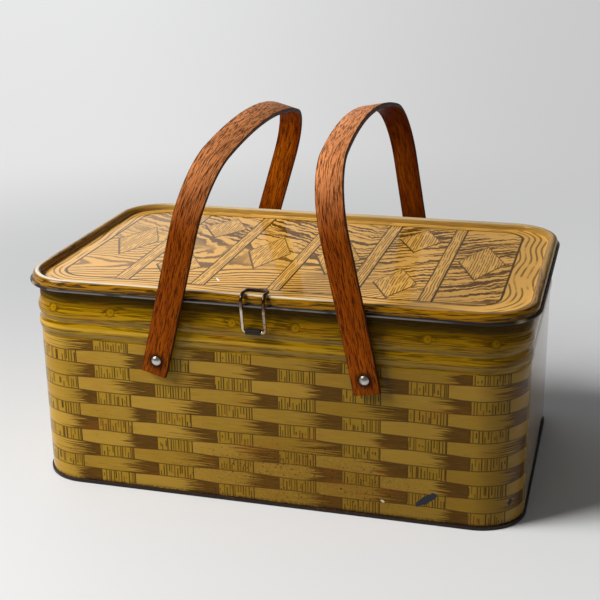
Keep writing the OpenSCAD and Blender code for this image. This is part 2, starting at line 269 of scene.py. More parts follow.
# %% Weave the rows
ROW_HEIGHT = 9.82
ROW_START = 2.4
ROW_SWELL = 0.48
ROW_DRIFT = 1.6
WEAVE_TOP = 107.9
STAKE_WIDTH = 25.2
STAKE_MIDDLE = -21.2
STAKES_IN_A_ROW = 12
FADE_MIDDLE = 42.0
FADE_SWAY = 7.0
FADE_SHORTEST = 12.0
FADE_SPREAD = 22.0
LEFT_ZONE = (-119.0, -133.0)
LEFT_SHIFT = 5.0
CORNER_ZONE = (-142.0, -160.0)
CORNER_SHIFT = 8.0
RIGHT_ZONE = (122.0, 136.0)
RIGHT_SHIFT = 3.4
ROW_LINE = (0.6, 0.2)
RIGHT_LINE = (0.55, 0.25)
LEFT_LINE = (0.45, 0.15)
STRIP_PALE = ink(166, 130, 46)
STRIP_SHADE = ink(141, 106, 24)
STRIP_DARK = ink(82, 53, 6)
STRIP_BROWN = ink(106, 74, 10)
STAKE_PALE = ink(156, 121, 30)
STAKE_LINE = ink(70, 47, 8)
JOIN_LINE = ink(72, 46, 12)


def woven_rows(finish, around, height, perimeter):
    """The colour of the weave at a place on the sheet."""
    period = perimeter / STAKES_IN_A_ROW
    around = around - around.ramp(*LEFT_ZONE) * LEFT_SHIFT + around.ramp(*CORNER_ZONE) * CORNER_SHIFT
    around = around + around.ramp(*RIGHT_ZONE) * RIGHT_SHIFT
    drift = (finish.noise(around * 0.025, height * 0.05, detail=1) - 0.5) * ROW_DRIFT
    rows = (height + drift - ROW_START) / ROW_HEIGHT
    wave = (around - STAKE_MIDDLE) * (2 * math.pi / period)
    swell = wave.math("COSINE") * (rows * math.pi).math("COSINE")
    rows = rows - swell * (ROW_SWELL / ROW_HEIGHT)
    row = rows.floor()
    up_row = rows.fraction()
    other_row = (row * 0.5).fraction() * 2
    turns = (around - (STAKE_MIDDLE + STAKE_WIDTH / 2)) / period + other_row * 0.5
    chance = finish.dice(turns.floor(), row)
    past_stake = turns.fraction() * period
    strip_length = period - STAKE_WIDTH

    streak = finish.noise(around * 0.034, height * 1.5, row * 3.7, detail=3, roughness=0.6)
    fade_length = finish.dice(turns.floor(), row, 5.0).power(2.0) * FADE_SPREAD + FADE_SHORTEST
    reach = (past_stake - FADE_MIDDLE - (chance - 0.5) * FADE_SWAY) / fade_length * 0.28 + 0.5
    fine = finish.noise(around * 0.07, height * 2.6, detail=2)
    pale = finish.paint(STRIP_PALE, (STRIP_SHADE, (fine * 0.6 + chance * 0.3).ramp(0.3, 0.75)))
    dark = finish.paint(STRIP_DARK, (STRIP_BROWN, fine.ramp(0.5, 0.68)))
    stake = finish.paint(
        STAKE_PALE,
        (STRIP_SHADE, fine.ramp(0.45, 0.7) * 0.6),
        (STAKE_LINE, splint_lines(finish, around, row, up_row)),
    )

    to_row = up_row.least(1 - up_row) * ROW_HEIGHT
    to_right = past_stake.least(period - past_stake)
    to_left = abs(past_stake - strip_length)
    edge = to_row.ramp(*ROW_LINE) * 0.8
    edge = edge.most(to_right.ramp(*RIGHT_LINE)).most(to_left.ramp(*LEFT_LINE) * 0.75)
    return finish.paint(
        pale,
        (dark, (reach - streak).ramp(-0.065, 0.065)),
        (stake, (past_stake - strip_length).ramp(-0.15, 0.15)),
        (JOIN_LINE, edge),
    )


print("rows of weave:", round((WEAVE_TOP - ROW_START) / ROW_HEIGHT, 1))

# %% [markdown]
# ## The printed band
#
# Above the weave the print imitates a wooden hoop with nail heads. Noise that is stretched along the sheet
# makes the grain. Pale lines along the pressed folds are painted sheen, and a golden line along the bead is a
# painted highlight. The nails could be pressed into the sheet, but on such a tin they are only ink, so they
# are circles at a steady pitch.

# %% Draw the band
SHEEN_FEET = (110.6, 112.0, 119.8, 121.6)
SHEEN_LINE = (1.1, 0.3)
GLINT_HEIGHT = 115.3
GLINT_LINE = (1.8, 0.5)
GLINT_ZONE = (160.0, -80.0)
NAIL_HEIGHT = 129.3
NAIL_FIRST = 22.1
NAIL_PITCH = 42.66
NAIL_RADIUS = 2.9
NAIL_RING = (0.9, 0.2)
NAIL_HALO = (4.0, 1.6)
BAND_PALE = ink(158, 118, 8)
BAND_SHEEN = ink(150, 128, 70)
BAND_GLINT = ink(206, 166, 58)
BAND_GRAIN = ink(74, 48, 2)


def wooden_band(finish, around, height):
    """The printed wood of the bead, the band and the neck, with a row of nail heads."""
    sway = finish.noise(around * 0.012, height * 0.06, detail=1)
    grain = finish.noise(around * 0.014, height * 0.42 + sway * 3.0, detail=3, roughness=0.6)
    lines = abs(grain - 0.5).ramp(0.06, 0.015).most(grain.ramp(0.53, 0.67) * 0.85)
    # Painted sheen: pale lines along the pressed folds.
    sheens = [abs(height - foot - sway * 0.8).ramp(*SHEEN_LINE) * 0.42 for foot in SHEEN_FEET]
    # Painted highlight: a golden line along the bead, fading towards the right.
    glint = abs(height - GLINT_HEIGHT - sway).ramp(*GLINT_LINE) * around.ramp(*GLINT_ZONE)
    sideways = ((around - NAIL_FIRST) / NAIL_PITCH + 0.5).fraction() * NAIL_PITCH - NAIL_PITCH / 2
    upwards = height - NAIL_HEIGHT
    reach = hypotenuse(sideways, upwards)
    halo = hypotenuse(sideways * 0.45, upwards).ramp(*NAIL_HALO)
    ragged = finish.noise(around * 0.25, height * 0.9, detail=2).ramp(0.42, 0.58)
    head = finish.paint(
        BAND_PALE,
        (BAND_GRAIN, abs(reach - NAIL_RADIUS).ramp(*NAIL_RING) * 0.5 + 0.22),
        (BAND_GRAIN, hypotenuse(sideways - 0.5, upwards - 0.2).ramp(1.1, 0.3) * 0.45),
    )
    return finish.paint(
        BAND_PALE,
        (BAND_GRAIN, lines * 0.8),
        *((BAND_SHEEN, sheen) for sheen in sheens),
        (BAND_GLINT, glint * 0.5),
        (BAND_GRAIN, halo * ragged * 0.9),
        (head, reach.ramp(NAIL_RADIUS + 0.5, NAIL_RADIUS)),
    )


print("between nail heads, mm:", NAIL_PITCH)

# %% [markdown]
# ## Wear and painted shade on the print
#
# Years of use have left light rust low on the front, soot by the foot, a scar down to the tin, a flake and a
# pit. Each is a soft shape laid over the print, with an edge that noise makes ragged, as a painter glazes
# colour over colour. Painted shade darkens and browns the print towards the right, and darkens the neck under
# the lid. The varnish on top is a clear coat, thinner on the front and under the lid.

# %% Shape the marks
BARE_TIN = ink(42, 45, 50)
FLAKE = ink(196, 192, 172)
PITTED = ink(24, 20, 18)
RUSTY_PATCH = ((24.0, 22.0), 100.0, 32.0, 0.0)
SCARS = (
    (BARE_TIN, (109.0, 17.7), 8.6, 2.6, 36.0),
    (FLAKE, (80.0, 13.0), 1.4, 0.8, -35.0),
    (PITTED, (164.8, 17.7), 2.6, 1.6, 80.0),
)


def slanted_oval(x, y, middle, half_length, half_width, slant):
    """1 in the middle of a slanted oval and 0 at its edge."""
    lean = math.radians(slant)
    aside = x - middle[0]
    above = y - middle[1]
    along = (aside * math.cos(lean) + above * math.sin(lean)) / half_length
    across = (above * math.cos(lean) - aside * math.sin(lean)) / half_width
    return 1 - hypotenuse(along, across)


print("marks on the wall:", len(SCARS))

# %% Age the wall and paint its shade
RUST = ink(112, 70, 12)
SOOT = ink(36, 23, 5)
BLUSH = ink(150, 84, 24)
RIGHT_PAINTED_SHADE = ink(62, 40, 2)
NECK_PAINTED_SHADE = ink(50, 34, 0)
RIGHT_SHADE_RISE = (-130.0, 140.0)
RIGHT_SHADE_FALL = (230.0, 150.0)
STAIN_ZONE = (80.0, 20.0)
SOOT_ZONE = (5.4, 2.6)
NECK_ZONE = (129.5, 137.5)
DULL_NECK = (128.0, 134.0)
FRONT_END = 172.0
FRONT_FULL = 150.0


def printed_wall(perimeter):
    """The whole print of the wall, with its wear, its painted shade and sheen, and its varnish."""
    finish = Finish("printed_wall")
    around, height = finish.on_sheet()
    stain_and_shade = finish.noise(around * 0.02, height * 0.03, 4.0, detail=3, roughness=0.6)
    ragged = finish.noise(around * 0.5, height * 0.5, 2.0, detail=3, roughness=0.6)
    blush = finish.noise(around * 0.03, height * 0.08, 6.0, detail=2)
    patch = slanted_oval(around, height, *RUSTY_PATCH).ramp(-0.1, 0.6)
    worn = patch.most(stain_and_shade.ramp(0.55, 0.72) * height.ramp(*STAIN_ZONE) * 0.7)
    # Painted shade: darker and browner towards the right of the front and round the right side.
    shaded_right = around.ramp(*RIGHT_SHADE_RISE) * around.ramp(*RIGHT_SHADE_FALL)
    specks = finish.cells(around * 0.4, height * 0.4).ramp(0.24, 0.14) * ragged.ramp(0.42, 0.5)
    scars = []
    for shade, *oval in SCARS:
        scar = slanted_oval(around, height, *oval) + (ragged - 0.5) * 1.1
        scars.append((shade, scar.ramp(-0.05, 0.1)))
    colour = finish.paint(
        woven_rows(finish, around, height, perimeter),
        (wooden_band(finish, around, height), height.ramp(WEAVE_TOP - 0.2, WEAVE_TOP + 0.2)),
        (RUST, worn * (ragged.ramp(0.38, 0.6) * 0.26 + 0.12)),
        (BLUSH, blush.ramp(0.54, 0.7) * 0.2),
        # Painted shade towards the right.
        (RIGHT_PAINTED_SHADE, shaded_right * 0.34),
        (SOOT, specks * (worn * 0.9 + 0.1).least(1.0)),
        (SOOT, height.ramp(*SOOT_ZONE) * ragged.ramp(0.3, 0.6) * 0.8),
        # Painted shade on the neck, under the overhang of the lid.
        (NECK_PAINTED_SHADE, height.ramp(*NECK_ZONE) * 0.85),
        *scars,
    )
    waves = finish.noise(around * 0.03, height * 0.045, 9.0, detail=2)
    finish.wear(Base_Color=colour, Roughness=0.5, Specular_IOR_Level=0.0)
    finish.varnish()
    on_front = around.ramp(-FRONT_END, -FRONT_FULL) * around.ramp(FRONT_END, FRONT_FULL)
    thinned = (on_front * 0.5).most(height.ramp(*DULL_NECK) * 0.8)
    finish.wear(Coat_Weight=1 - thinned)
    finish.bump(waves, 0.8, 0.25)
    return finish.material


print("thin varnish on the front, mm each way:", FRONT_END)

# %% [markdown]
# ## Bare metal
#
# Tinplate is printed on one side only, so the inside of the box and the curled hem of the lid show the metal.
# The inside has stayed pale and dull. The hem is dark, with a painted highlight along its front. One material
# with more masks could hold both, but two short ones are easier to read and to change.

# %% Mix the bare metal
INSIDE_TIN = ink(152, 140, 116)
HEM_DARK = ink(40, 37, 36)
HEM_PAINTED_HIGHLIGHT = ink(118, 114, 112)
HEM_LINE_FOOT = (142.5, 142.9)
HEM_LINE_TOP = (144.2, 143.6)
HEM_FRONT = (-106.4, -107.2)
HEM_HIGHLIGHT_END = (135.0, 100.0)
INSIDE_ENDS = (168.0, 164.0)
INSIDE_SIDES = (101.5, 97.5)


def dark_tin(name, tint, rust_share, metal=0.6, roughness=0.38):
    """Plain tinplate with a share of rust in clouds and spots."""
    finish = Finish(name)
    x, y, z = finish.in_space()
    cloud = finish.noise(x * 0.05, y * 0.05, z * 0.2, detail=4, roughness=0.65)
    spots = finish.noise(x * 0.6, y * 0.6, z * 0.6, detail=3, roughness=0.6)
    rusty = (cloud * 0.6 + spots * 0.5).ramp(0.72 - rust_share, 0.86 - rust_share)
    colour = finish.paint(tint, (RUST, rusty * 0.6))
    finish.wear(Base_Color=colour, Metallic=metal, Roughness=rusty * 0.3 + roughness, Specular_IOR_Level=0.3)
    finish.bump(spots, 0.15, 0.4)
    return finish.material


def worn_hem():
    """The back of the lid's sheet: pale inside, dark round the hem, with a painted highlight along its front.
    """
    finish = Finish("worn_hem")
    x, y, z = finish.in_space()
    ragged = finish.noise(x * 0.05, y * 0.3, z * 0.3, detail=3)
    # Painted highlight: a bright line low on the hem's front, fading towards the right.
    painted_highlight = z.ramp(*HEM_LINE_FOOT) * z.ramp(*HEM_LINE_TOP) * y.ramp(*HEM_FRONT)
    painted_highlight = painted_highlight * x.ramp(*HEM_HIGHLIGHT_END) * ragged.ramp(0.3, 0.5)
    inside = abs(x).ramp(*INSIDE_ENDS) * abs(y).ramp(*INSIDE_SIDES)
    colour = finish.paint(HEM_DARK, (HEM_PAINTED_HIGHLIGHT, painted_highlight), (INSIDE_TIN, inside))
    finish.wear(Base_Color=colour, Metallic=0.5, Roughness=0.45, Specular_IOR_Level=0.3)
    return finish.material


TIN_BACK = dark_tin("tin_back", INSIDE_TIN, 0.02, metal=0.4, roughness=0.45)
print("back of the sheet:", TIN_BACK.name)

# %% [markdown]
# ## Sheet metal
#
# The body, the lid and the foot are each one section carried round the same rounded rectangle. That could be
# a bevelled curve, but modelling it as a tinsmith bends it keeps every fold exact: draw the section, extrude
# it along half a side, spin it round a corner, extrude it along half the next side and mirror the quarter.

# %% Measure the wall
BEAD_PROUD = 1.1 * MM
CORNER = 32 * MM
wall_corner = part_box("body_wall")[1]
HALF_LENGTH = wall_corner.x - BEAD_PROUD
HALF_DEPTH = wall_corner.y - BEAD_PROUD
CORNER_AT = Vector((HALF_LENGTH - CORNER, HALF_DEPTH - CORNER, 0))
PERIMETER = 4 * (CORNER_AT.x + CORNER_AT.y) + 2 * math.pi * CORNER
print("round the wall, mm:", round(PERIMETER / MM, 1))

# %% Select, edit and modify
def alone(piece):
    """Selects one piece and makes it the active one."""
    bpy.ops.object.select_all(action="DESELECT")
    piece.select_set(True)
    bpy.context.view_layer.objects.active = piece


def edit(piece):
    """Enters edit mode with every vertex of a piece selected."""
    alone(piece)
    bpy.ops.object.mode_set(mode="EDIT")
    bpy.ops.mesh.select_mode(type="VERT")
    bpy.ops.mesh.select_all(action="SELECT")


def leave():
    """Goes back to object mode."""
    bpy.ops.object.mode_set(mode="OBJECT")


def pick(piece, kind, test):
    """Selects vertices or polygons by their place and stays in edit mode."""
    edit(piece)
    bpy.ops.mesh.select_mode(type="VERT" if kind == "vertices" else "FACE")
    bpy.ops.mesh.select_all(action="DESELECT")
    leave()
    for part in getattr(piece.data, kind):
        part.select = test(part.co if kind == "vertices" else part.center)
    bpy.ops.object.mode_set(mode="EDIT")


def modify(piece, kind, **settings):
    """Adds a modifier and applies it."""
    alone(piece)
    bpy.ops.object.modifier_add(type=kind)
    modifier = piece.modifiers[-1]
    for name, value in settings.items():
        setattr(modifier, name, value)
    bpy.ops.object.modifier_apply(modifier=modifier.name)


def extrude(x=0.0, y=0.0, z=0.0):
    """Extrudes what is selected by a step along the axes."""
    bpy.ops.mesh.extrude_region_move(TRANSFORM_OT_translate={"value": (x, y, z)})


print("editing tools ready")

# %% Draw a section and bend it round
CORNER_STEPS = 20
HAIR = MM / 100


def draw_line(name, points):
    """A chain of edges, drawn by extruding one vertex from point to point."""
    bpy.ops.mesh.primitive_plane_add(size=MM)
    line = bpy.context.object
    line.name = line.data.name = name
    edit(line)
    bpy.ops.mesh.merge(type="CENTER")
    bpy.ops.transform.translate(value=points[0])
    for start, end in zip(points, points[1:]):
        bpy.ops.mesh.extrude_vertices_move(TRANSFORM_OT_translate={"value": end - start})
    leave()
    return line


def arc(centre, radius, start, end, steps):
    """Points of an arc in a section, between two angles in degrees."""
    angles = [math.radians(start + (end - start) * step / steps) for step in range(steps + 1)]
    return [(centre[0] + radius * math.cos(a), centre[1] + radius * math.sin(a)) for a in angles]


def bend_round(name, section):
    """Carries a section, as offsets out from the wall and heights, all round the box."""
    piece = draw_line(name, [Vector((0, HALF_DEPTH + out, up)) for out, up in section])
    edit(piece)
    extrude(x=CORNER_AT.x)
    bpy.ops.mesh.spin(steps=CORNER_STEPS, angle=math.pi / 2, center=CORNER_AT, axis=(0, 0, 1))
    extrude(y=-CORNER_AT.y)
    leave()
    modify(piece, "MIRROR", use_axis=(True, True, False), merge_threshold=HAIR)
    return piece


def face_outwards(piece, place, direction):
    """Makes the normals agree, and points the face nearest a place in a direction."""
    edit(piece)
    bpy.ops.mesh.normals_make_consistent(inside=False)
    leave()
    nearest = min(piece.data.polygons, key=lambda face: (face.center - place).length)
    if nearest.normal.dot(direction) < 0:
        edit(piece)
        bpy.ops.mesh.flip_normals()
        leave()


print("steps in a corner:", CORNER_STEPS)

# %% Lay a sheet flat and hand a piece over
def way_round(x, y):
    """Distance round the wall from the middle of the front, on the right-hand side."""
    bend = CORNER * math.pi / 2
    if y < -CORNER_AT.y:
        angle = math.atan2(x - CORNER_AT.x, -CORNER_AT.y - y)
        return x if x < CORNER_AT.x else CORNER_AT.x + CORNER * angle
    side = CORNER_AT.x + bend
    if y <= CORNER_AT.y:
        return side + y + CORNER_AT.y
    side += 2 * CORNER_AT.y
    if x > CORNER_AT.x:
        return side + CORNER * math.atan2(y - CORNER_AT.y, x - CORNER_AT.x)
    return side + bend + CORNER_AT.x - x


def lay_flat(piece, across):
    """Gives each face its place on the flat sheet, in millimetres: round the box, then across."""
    flat = piece.data.uv_layers.new(name="sheet")
    for face in piece.data.polygons:
        side = 1 if face.center.x > 0 else -1
        for corner in face.loop_indices:
            place = piece.data.vertices[piece.data.loops[corner].vertex_index].co
            round_box = side * way_round(side * place.x, place.y)
            flat.data[corner].uv = (round_box / MM, across(place) / MM)


def finish_piece(piece, body, node, angle=35):
    """Smooths a piece, and says what it rides on and stands for."""
    alone(piece)
    bpy.ops.object.shade_smooth_by_angle(angle=math.radians(angle))
    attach(piece, body)
    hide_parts(node)
    print(piece.name, len(piece.data.polygons), "faces")


print("half way round, mm:", round(way_round(0, HALF_DEPTH) / MM, 1))

# %% [markdown]
# ## The body
#
# One sheet makes the plain wall, the pressed bead, the band above it, the neck that the lid covers and the
# rim, which is curled outwards over a wire. The section follows the outer face, so the thickness goes inwards
# and, in the curl, away from the wire. At the back the ends of the sheet are hooked together in a lock seam:
# a narrow strip of the wall, cut out with bisect and extruded a little outwards.

# %% Bend the body
PLAIN_TOP = 105.9 * MM
CREASE = 108.3 * MM
CREASE_IN = 0.4 * MM
CREASE_EASE = ((-0.05 * MM, 0.9 * MM), (-0.2 * MM, 1.7 * MM))
BEAD_TOP = 120 * MM
BAND_TOP = 131.2 * MM
NECK_IN = 0.8 * MM
BULGE_STEPS = 18
RIM_AT = (-0.1 * MM, 147.9 * MM)
RIM_WIRE = 0.7 * MM
RIM_CURL = (180, -110)
RIM_STEPS = 14
WALL_FOOT = 0.6 * MM


def bulge(low, high, start, end):
    """A pressed bulge between two heights, from one offset to another."""
    swell = BEAD_PROUD - (start + end) / 2

    def bulged(share):
        out = start + (end - start) * share + swell * math.sin(math.pi * share)
        return out, low + (high - low) * share
    return [bulged(step / BULGE_STEPS) for step in range(1, BULGE_STEPS + 1)]


wall_section = [
    (0, WALL_FOOT), (0, PLAIN_TOP),
    *((out, PLAIN_TOP + up) for out, up in CREASE_EASE),
    (-CREASE_IN, CREASE),
    *bulge(CREASE, BEAD_TOP, -CREASE_IN, -CREASE_IN),
    *bulge(BEAD_TOP, BAND_TOP, -CREASE_IN, -NECK_IN),
    *arc(RIM_AT, RIM_WIRE, *RIM_CURL, RIM_STEPS),
]
body = bend_round("body", wall_section)
print("points in the wall's section:", len(wall_section))

# %% Raise the seam and print the body
SHEET = 0.5 * MM
SEAM_HALF = 3 * MM
SEAM_PROUD = 0.45 * MM
SEAM_FOOT = 4.3 * MM
SEAM_CUTS = (
    ((-SEAM_HALF, 0, 0), (1, 0, 0)),
    ((SEAM_HALF, 0, 0), (1, 0, 0)),
    ((0, 0, SEAM_FOOT), (0, 0, 1)),
)
NEAR_WALL = 0.1 * MM


def on_back_wall(place):
    return place.y > HALF_DEPTH - NEAR_WALL and place.z < PLAIN_TOP


def in_seam(place):
    return on_back_wall(place) and abs(place.x) < SEAM_HALF and place.z > SEAM_FOOT


for place, square_to in SEAM_CUTS:
    pick(body, "polygons", on_back_wall)
    bpy.ops.mesh.bisect(plane_co=place, plane_no=square_to)
    leave()
pick(body, "polygons", in_seam)
extrude(y=SEAM_PROUD)
leave()
face_outwards(body, Vector((0, -HALF_DEPTH, PLAIN_TOP / 2)), Vector((0, -1, 0)))
body.data.materials.append(printed_wall(PERIMETER / MM))
body.data.materials.append(TIN_BACK)
modify(body, "SOLIDIFY", thickness=SHEET, offset=-1, material_offset=1)
lay_flat(body, lambda place: place.z)
finish_piece(body, "case", "body_wall")

# %% [markdown]
# ## The foot
#
# The floor is a separate sheet, set up inside the wall and folded outwards round the wall's lower edge. The
# fold is what the box stands on. It has lost its print, so it gets a finish of its own: dark tin with patches
# of rust. From above, the floor is plain tin like the rest of the inside, so its upper faces take that metal.

# %% Fold the foot
FOOT_HEIGHT = 2.7 * MM
FOOT_OUT = 1.1 * MM
FOOT_IN = 1.05 * MM
FLOOR_UNDER = 3 * MM
FLOOR_SHEET = 0.4 * MM
FOLD = 0.45 * MM
FOLD_STEPS = 5
FOLD_END = 0.1 * MM
FOOT_DARK = ink(36, 24, 16)
FLOOR_EDGE = 8 * MM


def out_from_wall(place):
    """How far a place lies outside the plain wall; negative inside."""
    aside = abs(place.x) - CORNER_AT.x
    along = abs(place.y) - CORNER_AT.y
    return math.hypot(max(aside, 0), max(along, 0)) + min(max(aside, along), 0) - CORNER


def fill_middle(piece, height, reach):
    """Closes the innermost edge of a ring with one flat face."""
    def inside(place):
        return abs(place.z - height) < HAIR and out_from_wall(place) < reach
    pick(piece, "vertices", inside)
    bpy.ops.mesh.edge_face_add()
    leave()


foot_section = [
    (-FLOOR_EDGE, FLOOR_UNDER), (-FOOT_IN - FOLD, FLOOR_UNDER),
    *arc((-FOOT_IN - FOLD, FLOOR_UNDER - FOLD), FOLD, 90, 0, FOLD_STEPS)[1:],
    *arc((-FOOT_IN + FOLD, FOLD), FOLD, 180, 270, FOLD_STEPS),
    *arc((FOOT_OUT - FOLD, FOLD), FOLD, -90, 0, FOLD_STEPS),
    *arc((FOOT_OUT - FOLD, FOOT_HEIGHT - FOLD), FOLD, 0, 90, FOLD_STEPS),
    (FOLD_END, FOOT_HEIGHT - FOLD_END),
]
foot = bend_round("foot", foot_section)
fill_middle(foot, FLOOR_UNDER, -FLOOR_EDGE + MM)
face_outwards(foot, Vector((0, -HALF_DEPTH - FOOT_OUT, FOOT_HEIGHT / 2)), Vector((0, -1, 0)))
modify(foot, "SOLIDIFY", thickness=FLOOR_SHEET, offset=-1)
foot.data.materials.append(dark_tin("dark_foot", FOOT_DARK, 0.12, metal=0.2))
foot.data.materials.append(TIN_BACK)


def on_floor(place):
    return place.z > FLOOR_UNDER + FLOOR_SHEET / 2 and out_from_wall(place) < -FOOT_IN


pick(foot, "polygons", on_floor)
foot.active_material_index = 1
bpy.ops.object.material_slot_assign()
leave()
finish_piece(foot, "case", "bottom_panel")

# %% [markdown]
# ## The print on the lid
#
# The lid shows a wooden panel: a plain border round zebra-grained boards, five slats laid across them and
# eight diamonds let in between the slats. The panel is flat, so its drawing uses the place in the frame
# directly. The rolled rim carries its own grain along the sheet, with a painted highlight along the crown and
# painted light round its sides and back.

# %% Draw the boards
GRAIN_FOLD = 38.0
FOLDED_BACK = (-60.0, 30.0)
FOLDED_RIGHT = (45.0, 80.0)
FULL_INK = (-150.0, -60.0)
HATCH_PITCH = 1.8
LID_TAN = ink(233, 177, 88)
LID_GRAIN = ink(92, 58, 12)
LID_LINE = ink(84, 58, 15)


def zebra_boards(finish, x, y):
    """Boards with a bold grain, which folds into chevrons towards the back and the right."""
    sway = finish.noise(x * 0.011, y * 0.02, detail=2, roughness=0.55)
    back = y.ramp(*FOLDED_BACK).most(x.ramp(*FOLDED_RIGHT))
    rise = abs(x - GRAIN_FOLD) * 0.6 * back + x * 0.22 * (1 - back)
    zigzag = finish.noise(x * 0.12, y * 0.05, 7.0, detail=2, roughness=0.7)
    down = y - rise + (sway - 0.5) * 20 + (zigzag - 0.5) * 11 * back
    ragged = finish.noise(x * 0.08, y * 0.9, detail=2, roughness=0.6)
    flame = finish.noise(x * 0.02, down * 0.22, 3.0, detail=1) + (ragged - 0.5) * 0.36
    thread = abs((down * 0.19).fraction() - 0.5) + (ragged - 0.5) * 0.3
    bold = (x * 0.45 + y + (sway - 0.5) * 90).ramp(-60.0, 10.0)
    streak = (flame.ramp(0.485, 0.54) * bold).most(thread.ramp(0.24, 0.12) * (1 - bold) * 0.9)
    return finish.paint(LID_TAN, (LID_GRAIN, streak * (x.ramp(*FULL_INK) * 0.2 + 0.75)))


def hatched_wood(finish, x, y):
    """Pale wood with broken lines along it, for the slats and the diamonds."""
    column = x / HATCH_PITCH + finish.noise(x * 0.05, y * 0.03, 8.0, detail=1) * 2
    splint = column.floor()
    aside = abs(column.fraction() - 0.5 + (finish.dice(splint, 6.0) - 0.5) * 0.4)
    broken = finish.noise(splint * 7.3, y * 0.07, detail=2).ramp(0.36, 0.5)
    return finish.paint(LID_TAN, (LID_LINE, aside.ramp(0.32, 0.12) * broken * 0.75))


print("lines of the hatched wood, mm apart:", HATCH_PITCH)

# %% Let in the diamonds and lay the slats
SLATS = ((-107.2, 5.2), (-52.7, 4.7), (0.0, 4.4), (49.8, 4.8), (100.8, 4.4))
DIAMONDS = (
    (-132.4, 12.2, 16.0, 37.0), (-78.3, 58.6, 16.7, 28.0), (-80.0, -41.0, 16.7, 28.0),
    (-26.6, 3.1, 16.0, 39.5), (25.2, 1.0, 16.0, 39.5), (74.8, 56.5, 15.2, 30.5),
    (75.2, -45.4, 15.0, 30.5), (125.6, 11.6, 16.5, 40.0),
)
DIAMOND_SHADE = 1.8
SLAT_RIGHT_LINE = (0.9, 0.5)
SLAT_LEFT_LINE = (0.7, 0.35)


def slatted_panel(finish, x, y):
    """The boards with the diamonds, the dark line below each of them, and the slats."""
    board = hatched_wood(finish, x, y)
    inlay = None
    shade = None
    for middle_x, middle_y, half_width, half_height in DIAMONDS:
        sideways = abs(x - middle_x) / half_width
        upwards = y - middle_y
        depth = 1 - sideways - abs(upwards) / half_height
        below = 1 - sideways - abs(upwards + DIAMOND_SHADE) / half_height
        inlay = inlay.most(depth) if inlay else depth
        shade = shade.most(below) if shade else below
    coats = [
        (LID_LINE, shade.ramp(-0.02, 0.02)),
        (board, inlay.ramp(-0.02, 0.02)),
        (LID_LINE, abs(inlay - 0.02).ramp(0.05, 0.02) * 0.7),
    ]
    for middle, half in SLATS:
        sideways = x - middle
        coats.append((board, abs(sideways).ramp(half + 0.1, half - 0.1)))
        coats.append((LID_LINE, abs(sideways - half).ramp(*SLAT_RIGHT_LINE)))
        coats.append((LID_LINE, abs(sideways + half).ramp(*SLAT_LEFT_LINE) * 0.85))
    return finish.paint(zebra_boards(finish, x, y), *coats)


print("slats:", len(SLATS), "diamonds:", len(DIAMONDS))

# %% Draw the border and the chip
BORDER_MIDDLE = (-3.4, 6.7)
BORDER_HALF = (151.0, 85.7)
BORDER_CORNER = 17.0
BORDER_LINE = (1.0, 0.5)
RING_PITCH = 4.0
CHIP = ((-42.6, -65.8), 3.6, 0.7, -58.0)
CHIP_WHITE = ink(250, 248, 242)


def lid_panel(finish, x, y):
    """The colour of the flat panel."""
    aside = abs(x - BORDER_MIDDLE[0]) - (BORDER_HALF[0] - BORDER_CORNER)
    along = abs(y - BORDER_MIDDLE[1]) - (BORDER_HALF[1] - BORDER_CORNER)
    beyond = hypotenuse(aside.most(0.0), along.most(0.0)) + aside.most(along).least(0.0) - BORDER_CORNER
    rings = beyond / RING_PITCH + finish.noise(x * 0.009, y * 0.012, 5.0, detail=1) * 6
    unbroken = finish.noise(x * 0.03, y * 0.03, rings.floor() * 1.7).ramp(0.36, 0.5)
    border = finish.paint(LID_TAN, (LID_LINE, abs(rings.fraction() - 0.5).ramp(0.24, 0.1) * unbroken * 0.75))
    return finish.paint(
        slatted_panel(finish, x, y),
        (border, beyond.ramp(-0.1, 0.1)),
        (LID_LINE, abs(beyond).ramp(*BORDER_LINE)),
        (CHIP_WHITE, slanted_oval(x, y, *CHIP).ramp(-0.1, 0.2)),
    )


print("half of the panel inside the border, mm:", BORDER_HALF)

# %% Draw the rim and varnish the lid
RIM_PALE = ink(156, 107, 6)
RIM_GRAIN = ink(44, 26, 4)
RIM_PAINTED_HIGHLIGHT = ink(252, 240, 212)
RIM_LIT_PALE = ink(204, 164, 86)
PALE_LIT_ZONE = (200.0, 330.0)
BACK_ZONE = (340.0, 390.0)
BACK_WIDER = 1.6
HIGHLIGHT_FROM = (3.6, 4.8)
HIGHLIGHT_TO = (7.2, 5.8)
HIGHLIGHT_RIGHT_END = (80.0, 20.0)
HIGHLIGHT_LEFT_END = (-215.0, -165.0)
RIM_START = (-1.4, -1.2)
THINNER_COAT = (-120.0, -30.0)


